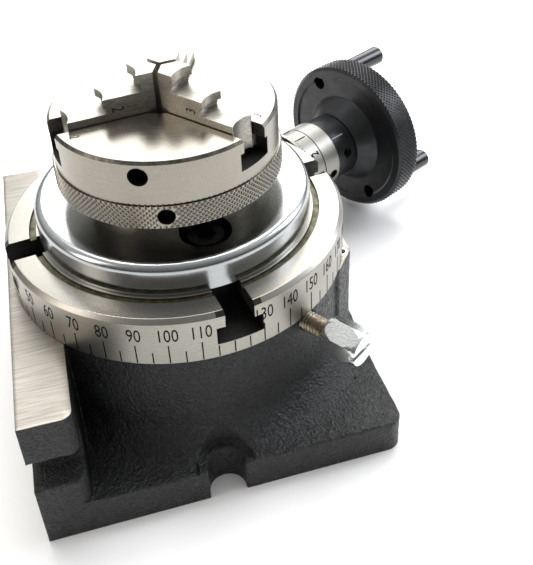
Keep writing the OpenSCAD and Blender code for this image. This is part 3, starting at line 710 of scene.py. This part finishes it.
def tableFace(centre, normal, radius):
    # 0 faced steel, 1 graduated rim, 2 darker olive-brown groove, 3 slots
    innerWall, outerWall = table["grooveRadius"]
    if innerWall < radius < outerWall and table["top"] - table["grooveDepth"] < centre.z < table["top"] - skin:
        return 2
    if radius > table["radius"] - 0.4 and abs(normal.z) < 0.3:
        return 1
    for i in range(4):
        angle = math.radians(table["slotAzimuth"] + 90 * i)
        along = centre.x * math.cos(angle) + centre.y * math.sin(angle)
        across = abs(centre.y * math.cos(angle) - centre.x * math.sin(angle))
        if along > table["slotInner"] and across < table["slotWide"] + skin \
                and table["slotBottom"] - skin < centre.z < table["top"] - skin:
            return 3
    return 0


handOver(softenedCopy("tableDisc", "rotary_table", {
    "materials": ["tableSteel", "rimChrome", "grooveDarkOlive", "blackSlotAndPaintedShade"], "edge": 0.22, "chooser": tableFace}),
    "table", "table_steel", "rotary_table")

slotGap = {"gaps": 4, "gapStart": table["slotAzimuth"], "gapHeight": scale["markBottom"],
           "gapHalfWidth": table["slotWide"], "gapHalfHeight": 5.0}
# long marks stop short where a slot opens above them
belowSlot = table["slotBottom"] - scale["markBottom"] - 0.2
for label, height, count, start, gap in (
        ("rimLongMarks", scale["longMark"], 36, 0.0, slotGap),
        ("rimShortMarks", scale["shortMark"], 36, 5.0, {}),
        ("rimSlotMarks", belowSlot, 4, 30.0, {})):
    made = ringOf(label, markMesh(scale["markWidth"], height, scale["depth"], table["radius"]), {
        "count": count, "radius": table["radius"], "bottom": scale["markBottom"],
        "start": scale["zeroAzimuth"] + start, "gap": gap, "material": "markBlack"})
    handOver(made, "table", "table_steel")

figures = []
for value in range(0, 360, scale["step"]):
    azimuth = scale["zeroAzimuth"] + value
    offset = (azimuth - table["slotAzimuth"] + 45) % 90 - 45
    figure = letterMesh(str(value), scale["figureHeight"], scale["depth"])
    slotCentre = -math.radians(offset) * table["radius"]
    middle = scale["figureMiddle"]
    if abs(slotCentre) < scale["nearSlot"]:
        shoulder = table["slotShoulder"] - middle
        cutWindow(figure, table["slotWide"], table["slotBottom"] - middle, shoulder, slotCentre)
        cutWindow(figure, table["slotNeck"], shoulder - 0.01, table["top"] - middle, slotCentre)
    wrapOnCylinder(figure, table["radius"], azimuth, middle)
    figures.append(figure)
handOver(joinMeshes("rimFigures", figures, materials["markBlack"]), "table", "table_steel")


plate = {"boltCircle": 27.4, "seatRadius": 7.25, "top": 70.7}


def plateFace(centre, normal, radius):
    # the counterbores of the two bolts are left as drilled
    for i in (1, 3):
        angle = math.radians(table["slotAzimuth"] + 90 * i)
        away = math.hypot(centre.x - plate["boltCircle"] * math.cos(angle),
                          centre.y - plate["boltCircle"] * math.sin(angle))
        if away < plate["seatRadius"] and centre.z < plate["top"] - skin:
            return 1
    return 0


handOver(softenedCopy("adapterPlate", "adapter_plate", {
    "materials": ["plateSteel", "drilledSteel"], "edge": 0.3, "chooser": plateFace}),
    "table", "turned_steel", "adapter_plate")
handOver(softenedCopy("plateScrews", "plate_screws", {"materials": ["screwBlack"], "edge": 0.25}),
         "table", "screw_black", "plate_screws")


chuck = {"top": 97.2, "radius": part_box("chuck_body")[1].x / mm, "slotBottom": 88.0, "guideHeight": 5.4,
         "jawAzimuth": 68.5, "holeAzimuth": 67.5, "holeHeight": 92.9, "holeRadius": 2.7}


def inKeyHole(centre, look):
    # true on the wall of one of three holes that run in from the side of a round body
    for i in range(3):
        angle = math.radians(look["holeAzimuth"] + 120 * i)
        across = centre.y * math.cos(angle) - centre.x * math.sin(angle)
        along = centre.x * math.cos(angle) + centre.y * math.sin(angle)
        reach = math.hypot(across, centre.z - look["holeHeight"])
        if along > 10 and reach < look["holeRadius"] + 0.02 \
                and math.hypot(centre.x, centre.y) < look["radius"] - 0.05:
            return True
    return False


def chuckFace(centre, normal, radius):
    # 0 ground outside, 1 black in the holes and under the guides as painted shade, 2 the milled necks of the jaw
    # ways
    if inKeyHole(centre, chuck):
        return 1
    if radius > chuck["radius"] - 0.1 or centre.z > chuck["top"] - 0.1:
        return 0
    if centre.z < chuck["slotBottom"] - 0.1:
        return 0
    inGuide = centre.z < chuck["slotBottom"] + chuck["guideHeight"]
    return 1 if inGuide else 2


handOver(softenedCopy("chuckBody", "chuck_body", {
    "materials": ["chuckSteel", "blackSlotAndPaintedShade", "drilledSteel"], "edge": 0.2, "chooser": chuckFace}),
    "table", "ground_steel", "chuck_body")

knurlSunk = 0.08  # mm that each diamond's foot lies below the surface
ring = {"radius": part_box("scroll_ring")[1].x / mm, "bottom": 77.15, "top": 84.1, "margin": 0.45, "teeth": 130,
        "rows": 9, "rise": 0.3, "holeAzimuth": 18.5, "holeHeight": 80.8, "holeRadius": 2.4, "holeMargin": 0.5}
# the scroll ring's key holes get the black as painted shade
handOver(softenedCopy("scrollRing", "scroll_ring", {
    "materials": ["chuckSteel", "blackSlotAndPaintedShade"], "edge": 0.15, "sharp": 50,
    "chooser": lambda centre, normal, radius: int(inKeyHole(centre, ring))}),
    "scroll", "ground_steel", "scroll_ring")
ringPitch = 2 * math.pi * ring["radius"] / ring["teeth"]
ringRow = (ring["top"] - ring["bottom"] - 2 * ring["margin"]) / (ring["rows"] - 1)
clearOfHole = ring["holeRadius"] + ring["holeMargin"]
handOver(ringOf("scrollRingKnurl", diamondMesh(ringPitch, ringRow * 2, ring["rise"], knurlSunk), {
    "count": ring["teeth"], "rows": ring["rows"], "radius": ring["radius"],
    "bottom": ring["bottom"] + ring["margin"], "rowPitch": ringRow, "material": "chuckSteel",
    "gap": {"gaps": 3, "gapStart": ring["holeAzimuth"], "gapHeight": ring["holeHeight"],
            "gapHalfWidth": clearOfHole, "gapHalfHeight": clearOfHole}}), "scroll", "ground_steel")

jawBodies = ("jaw_one", "jaw_two", "jaw_three")
for number, body in enumerate(jawBodies, 1):
    handOver(softenedCopy(f"jaw{number}", f"jaw_{number}", {"materials": ["jawSteel"], "edge": 0.14}),
             body, "ground_steel", f"jaw_{number}")


def stampedFigure(name, text, height, place, body):
    # a thin dark solid with no hollow: its colour is the painted shade of a punched figure
    figure = letterMesh(text, height, scale["depth"])
    bmesh.ops.scale(figure, vec=(mm, mm, mm), verts=figure.verts)
    figure.transform(place)
    handOver(joinMeshes(name, [figure], materials["stamped"]), body, "ground_steel")


jawFigure = {"radius": 13.6, "height": 100.2, "size": 3.3, "side": 4.05}
faceFigure = {"radius": 26.8, "across": 7.9, "size": 2.6}
for number, body in enumerate(jawBodies, 1):
    azimuth = math.radians(chuck["jawAzimuth"] + 120 * (number - 1))
    turn = Matrix.Rotation(azimuth, 4, "Z")
    # jaws 1 and 2 carry it on the side with rising azimuth, jaw 3 on the other, heads towards the centre
    side = -1 if number == 3 else 1
    lying = Matrix(((0, -1, 0), (0, 0, side), (-side, 0, 0))).to_4x4()
    spot = Matrix.Translation(Vector((jawFigure["radius"], side * jawFigure["side"], jawFigure["height"])) * mm)
    stampedFigure(f"jawFigure{number}", str(number), jawFigure["size"], turn @ spot @ lying, body)
    flat = Matrix.Translation(Vector((faceFigure["radius"], faceFigure["across"], chuck["top"])) * mm)
    stampedFigure(f"chuckFigure{number}", str(number), faceFigure["size"],
                  turn @ flat @ Matrix.Rotation(math.radians(90), 4, "Z"), "table")


shaft = {"collarRadius": 13.0, "markStart": 67.75, "longMark": 2.9, "shortMark": 1.5, "markWidth": 0.4,
         "figureMiddle": 72.4, "figureHeight": 3.7, "figureDepth": 0.05, "figureWeight": 0.025,
         "firstFigure": 102.0, "figureStep": 36.0}

handOver(softenedCopy("graduatedCollar", "graduated_collar", {"materials": ["collarChrome"], "edge": 0.2}),
         "dial", "satin_chrome", "graduated_collar")
# angles on the shaft's pieces are measured from the back, over the top: local angle is 90 more
for label, height, count in (("collarLongMarks", shaft["longMark"], 10),
                             ("collarShortMarks", shaft["shortMark"], 60)):
    made = ringOf(label, markMesh(shaft["markWidth"], height, scale["depth"], shaft["collarRadius"]), {
        "count": count, "radius": shaft["collarRadius"], "bottom": shaft["markStart"],
        "start": 90 + shaft["firstFigure"], "material": "markBlack"}, wormFrame())
    handOver(made, "dial", "satin_chrome")
figures = []
for value in range(10):
    angle = 90 + shaft["firstFigure"] + shaft["figureStep"] * (value - 1)
    figure = letterMesh(str(value), shaft["figureHeight"], shaft["figureDepth"], shaft["figureWeight"])
    wrapOnCylinder(figure, shaft["collarRadius"], angle, shaft["figureMiddle"], wormFrame(), upsideDown=True)
    figures.append(figure)
handOver(joinMeshes("collarFigures", figures, materials["markBlack"]), "dial", "satin_chrome")
handOver(softenedCopy("collarGrubScrew", "collar_grub_screw", {"materials": ["screwBlack"], "edge": 0.12}),
         "dial", "screw_black", "collar_grub_screw")

indexRing = {"radius": 12.5, "start": 83.5, "markWidth": 0.4, "length": 5.8, "angle": 130.0}
handOver(softenedCopy("indexRing", "index_ring", {"materials": ["wheelBlack"], "edge": 0.25}),
         "worm_drive", "black_oxide", "index_ring")
# a ring takes three marks at least: two of them fall in its gap
indexMark = markMesh(indexRing["markWidth"], indexRing["length"], scale["depth"], indexRing["radius"])
handOver(ringOf("indexLine", indexMark, {
    "count": 3, "radius": indexRing["radius"], "bottom": indexRing["start"], "start": 90 + indexRing["angle"],
    "gap": {"gaps": 1, "gapStart": 90 + indexRing["angle"] + 180, "gapHeight": indexRing["start"],
            "gapHalfWidth": 30.0, "gapHalfHeight": 5.0}, "material": "markWhite"}, wormFrame()),
    "worm_drive", "black_oxide")
handOver(softenedCopy("ringGrubScrew", "ring_grub_screw", {"materials": ["screwBlack"], "edge": 0.12}),
         "worm_drive", "screw_black", "ring_grub_screw")

wheel = {"radius": 29.5, "rimIn": 100.0, "rimOut": 109.0, "margin": 0.4, "teeth": 110, "rows": 11, "rise": 0.38}
handOver(softenedCopy("handwheel", "handwheel", {"materials": ["wheelBlack"], "edge": 0.3}),
         "worm_drive", "black_oxide", "handwheel")
wheelPitch = 2 * math.pi * wheel["radius"] / wheel["teeth"]
wheelRow = (wheel["rimOut"] - wheel["rimIn"] - 2 * wheel["margin"]) / (wheel["rows"] - 1)
handOver(ringOf("handwheelKnurl", diamondMesh(wheelPitch, wheelRow * 2, wheel["rise"], knurlSunk), {
    "count": wheel["teeth"], "rows": wheel["rows"], "radius": wheel["radius"],
    "bottom": wheel["rimIn"] + wheel["margin"], "rowPitch": wheelRow, "material": "wheelBlack"}, wormFrame()),
    "worm_drive", "black_oxide")
for number in (1, 2):
    handOver(softenedCopy(f"crankHandle{number}", f"crank_handle_{number}", {
        "materials": ["handleBlack"], "edge": 0.35}), "worm_drive", "black_oxide", f"crank_handle_{number}")


# the hexagon keeps its CAD shape outside the cut, and a drawn thread takes the place of the plain rod inside it
clamp = {"cut": 57.45, "edge": 0.2}
thread = {"start": 31.0, "end": 57.9, "pitch": 1.0, "perTurn": 8, "sides": 24, "root": 2.5, "crest": 2.95}


def makeClamp():
    bm = mergedCopy("clamp_screw")
    place = clampFrame()
    bm.transform(place.inverted())
    bmesh.ops.bisect_plane(bm, geom=bm.verts[:] + bm.edges[:] + bm.faces[:], plane_co=(0, 0, clamp["cut"] * mm),
                           plane_no=(0, 0, 1), clear_inner=True)
    bmesh.ops.holes_fill(bm, edges=[e for e in bm.edges if e.is_boundary])
    mesh = bpy.data.meshes.new("clampHexagon")
    bm.to_mesh(mesh)
    bm.free()
    made = breakEdges(newObject("clampHexagon", mesh), clamp["edge"], sharpAngle)
    made.data.transform(place)
    made.data.materials.clear()
    made.data.materials.append(materials["zincPlate"])
    return made


handOver(makeClamp(), "clamp", "bright_zinc", "clamp_screw")
threadMesh = helixMesh("clampThread", thread)
threadMesh.transform(clampFrame())
threadMesh.materials.append(materials["threadSteel"])
smoothFaces(threadMesh)
handOver(newObject("clampThread", threadMesh), "clamp", "bright_zinc")


# inner and small pieces keep their CAD shape and get these materials
carried = {
    "bronze": ["upper_bush", "lower_bush", "worm_end_bush", "worm_wheel", "thrust_washer", "lock_pad"],
    "chuckSteel": ["spindle", "chuck_back_cover", "worm", "thrust_collar", "wheel_key"],
    "collarChrome": ["worm_shaft", "worm_sleeve"],
    "screwBlack": ["sleeve_screws", "table_screws", "spindle_nut", "nut_grub_screw", "cover_screws",
                   "chuck_screws"],
    "zincPlate": ["oil_cup", "oil_ball", "t_nuts", "wheel_washer", "wheel_nut"],
}
for key, nodes in carried.items():
    for node in nodes:
        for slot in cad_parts[node].material_slots:
            slot.link = "OBJECT"
            slot.material = materials[key]
print("carried over", sum(len(nodes) for nodes in carried.values()))


floorMaterial, floorTree = newMaterial("studioPaperMatt")
floorCoords = addNode(floorTree, "ShaderNodeTexCoord")
paper = addNode(floorTree, "ShaderNodeTexNoise", None, {
    "Vector": floorCoords.outputs["Object"], "Scale": 6.0, "Detail": 2.0})
paperColour = bentRamp(floorTree, paper.outputs["Fac"], [(0.3, "#f4f4f3"), (0.7, "#fafaf9")])
finishMaterial(floorTree, {"Base Color": paperColour, "Roughness": 0.8, "Specular IOR Level": 0.15})
floorMesh = bpy.data.meshes.new("studioFloor")
floorHalf = 3.0
corners = [(x * floorHalf, y * floorHalf, 0) for x, y in ((-1, -1), (1, -1), (1, 1), (-1, 1))]
floorMesh.from_pydata(corners, [], [(0, 1, 2, 3)])
floorMesh.materials.append(floorMaterial)
newObject("studioFloor", floorMesh)

room = {"strength": 0.8, "brightSide": (0.35, 0.8, 0.35), "dim": 0.42, "bright": 1.35}
world = bpy.data.worlds.new("studioRoom")
world.use_nodes = True
scene.world = world
roomTree = world.node_tree
roomTree.nodes.clear()
direction = addNode(roomTree, "ShaderNodeTexCoord")
rise = addNode(roomTree, "ShaderNodeSeparateXYZ", None, {0: direction.outputs["Generated"]})
heightTone = bentRamp(roomTree, rise.outputs["Z"], [(0.0, "#8d8984"), (0.15, "#a8a5a2"), (0.5, "#f1f1f1"),
                                                    (1.0, "#ffffff")])
# the backdrop side is bright, the side where the camera stands is dim
facing = addNode(roomTree, "ShaderNodeVectorMath", {"operation": "DOT_PRODUCT"}, {
    0: direction.outputs["Generated"], 1: Vector(room["brightSide"]).normalized()})
sideTone = addNode(roomTree, "ShaderNodeMapRange", {"interpolation_type": "SMOOTHSTEP"}, {
    "Value": facing.outputs["Value"], "From Min": -0.55, "From Max": 0.85,
    "To Min": room["dim"], "To Max": room["bright"]})
roomColour = addNode(roomTree, "ShaderNodeVectorMath", {"operation": "SCALE"}, {
    0: heightTone, "Scale": sideTone.outputs[0]})
# the camera sees a plain backdrop, and only the object sees the room
seen = addNode(roomTree, "ShaderNodeBackground", None, {"Color": srgb("#fcfcfb"), "Strength": 1.0})
lit = addNode(roomTree, "ShaderNodeBackground", None, {
    "Color": roomColour.outputs[0], "Strength": room["strength"]})
path = addNode(roomTree, "ShaderNodeLightPath")
mixed = addNode(roomTree, "ShaderNodeMixShader", None, {
    0: path.outputs["Is Camera Ray"], 1: lit.outputs[0], 2: seen.outputs[0]})
addNode(roomTree, "ShaderNodeOutputWorld", None, {0: mixed.outputs[0]})

lamps = [
    # name, place, aim, width, depth, watts, colour
    ("overheadSoftbox", (0.05, 0.35, 0.95), (0.0, 0.0, 0.05), 0.8, 0.5, 7.0, "#ffffff"),
    ("backSoftbox", (0.4, 0.85, 0.6), (0.0, 0.0, 0.07), 1.2, 0.5, 8.5, "#ffffff"),
    ("leftSoftbox", (-0.85, -0.1, 0.5), (0.0, 0.0, 0.05), 0.3, 0.6, 2.4, "#fff6ec"),
    ("rightSoftbox", (0.85, 0.05, 0.5), (0.0, 0.0, 0.05), 0.3, 0.6, 5.0, "#eef4ff"),
]
for name, place, aim, width, depth, watts, colour in lamps:
    light = bpy.data.lights.new(name, "AREA")
    light.shape = "RECTANGLE"
    light.size, light.size_y = width, depth
    light.energy = watts
    light.color = srgb(colour)[:3]
    lamp = bpy.data.objects.new(name, light)
    lamp.location = place
    lamp.rotation_euler = (Vector(aim) - Vector(place)).to_track_quat("-Z", "Y").to_euler()
    scene.collection.objects.link(lamp)
print("lamps", len(lamps))

view = {"azimuth": -16.399, "elevation": 35.131, "roll": -1.264, "place": (-24.448, -210.396, 210.285),
        "focal": 847.991, "longSide": 565, "shift": (-0.05, -0.15)}
azimuth, elevation, roll = (math.radians(view[key]) for key in ("azimuth", "elevation", "roll"))
forward = Vector((-math.sin(azimuth) * math.cos(elevation), math.cos(azimuth) * math.cos(elevation),
                  -math.sin(elevation)))
level = Vector((math.cos(azimuth), math.sin(azimuth), 0))
upward = level.cross(forward)
rightward = level * math.cos(roll) + upward * math.sin(roll)
top = upward * math.cos(roll) - level * math.sin(roll)
lens = bpy.data.cameras.new("viewCamera")
lens.sensor_width = 36.0
lens.lens = view["focal"] / view["longSide"] * lens.sensor_width
lens.shift_x, lens.shift_y = view["shift"]
lens.clip_start, lens.clip_end = 0.01, 20.0
camera = bpy.data.objects.new("viewCamera", lens)
turn = Matrix((rightward, top, -forward)).transposed().to_4x4()
camera.matrix_world = Matrix.Translation(Vector(view["place"]) * mm) @ turn
scene.collection.objects.link(camera)
scene.camera = camera
scene.view_settings.view_transform = "Standard"
